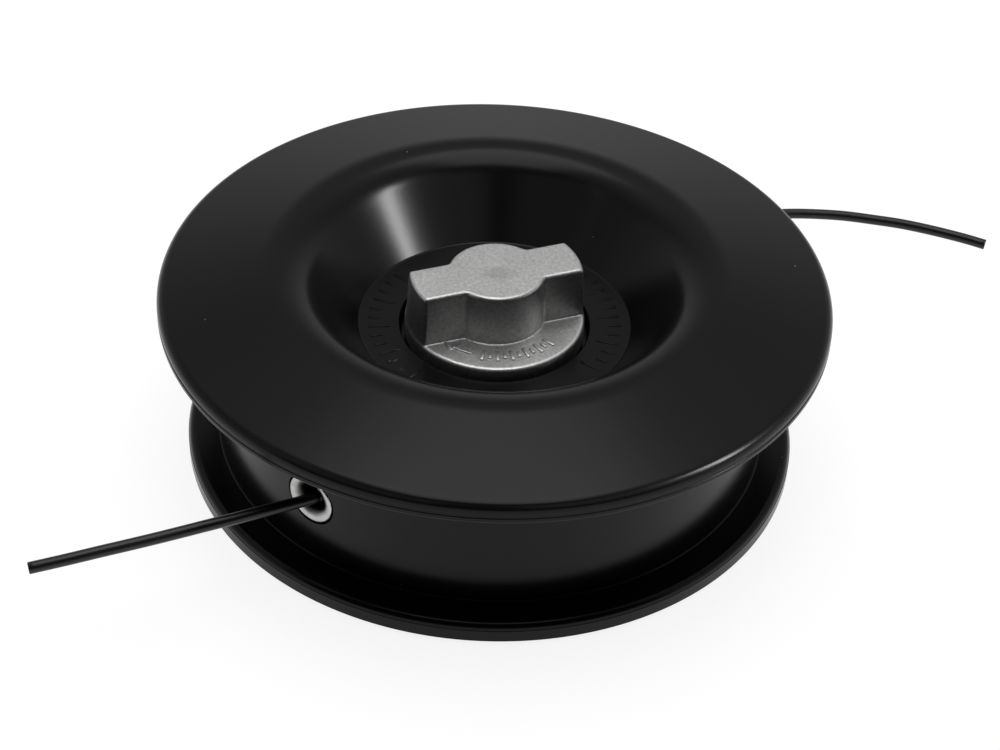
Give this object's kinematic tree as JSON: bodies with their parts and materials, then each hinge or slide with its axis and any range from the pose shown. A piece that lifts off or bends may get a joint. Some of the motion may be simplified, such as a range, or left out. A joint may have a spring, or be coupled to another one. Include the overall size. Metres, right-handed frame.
{
  "type": "trimmer line head",
  "caption": "Manual string trimmer head: a black hub between two flanges, a winged metal knob in the dish, an inner reel and two line stubs through flared eyelets.",
  "frame": {"origin": "centre of the face that the gearbox-side flange rests on, on the head's own axis of rotation", "axes": "+Z along the axis of rotation from the gearbox side to the knob side; the front eyelet lies toward -X -Y, the rear one toward +X +Y"},
  "size_m": [0.2024, 0.1408, 0.046],
  "materials": {
    "black_nylon": "satin moulded black nylon",
    "reel_nylon": "satin moulded black nylon",
    "cutting_line": "smooth drawn nylon line",
    "cast_aluminium": "fine as-cast skin",
    "eyelet_metal": "bright pressed",
    "turned_steel": "turned",
    "spring_steel": "oiled dark",
    "washer_steel": "zinc plated",
    "grip_fibre": "pressed fibre and rubber"
  },
  "bodies": {
    "housing": {"housing": "black_nylon", "cover": "black_nylon", "friction_washer_lower": "grip_fibre", "friction_washer_upper": "grip_fibre", "arbor": "turned_steel", "arbor_clip": "spring_steel", "eyelet_front": "eyelet_metal", "eyelet_rear": "eyelet_metal", "line_lead_front": "cutting_line", "line_lead_rear": "cutting_line", "cutting_line_front": "cutting_line", "cutting_line_rear": "cutting_line"},
    "spool": {"spool": "reel_nylon", "line_winding_lower": "cutting_line", "line_winding_upper": "cutting_line"},
    "knob_washer": {"thrust_washer": "washer_steel"},
    "knob": {"knob": "cast_aluminium", "knob_insert": "turned_steel"}
  },
  "joints": [
    {"name": "spool_turn", "type": "hinge", "parent": "housing", "child": "spool", "pos_m": [0, 0, 0.016], "axis": [0, 0, 1], "continuous": true},
    {"name": "knob_turn", "type": "hinge", "parent": "knob_washer", "child": "knob", "pos_m": [0, 0, 0.0282], "axis": [0, 0, -1], "range_deg": [0, 2160]},
    {"name": "knob_lift", "type": "slide", "parent": "housing", "child": "knob_washer", "axis": [0, 0, 1], "range_m": [0, 0.0075]}
  ],
  "couplings": [
    {"joint": "knob_lift", "follows": "knob_turn", "m_per_rad": 0.00019894}
  ]
}
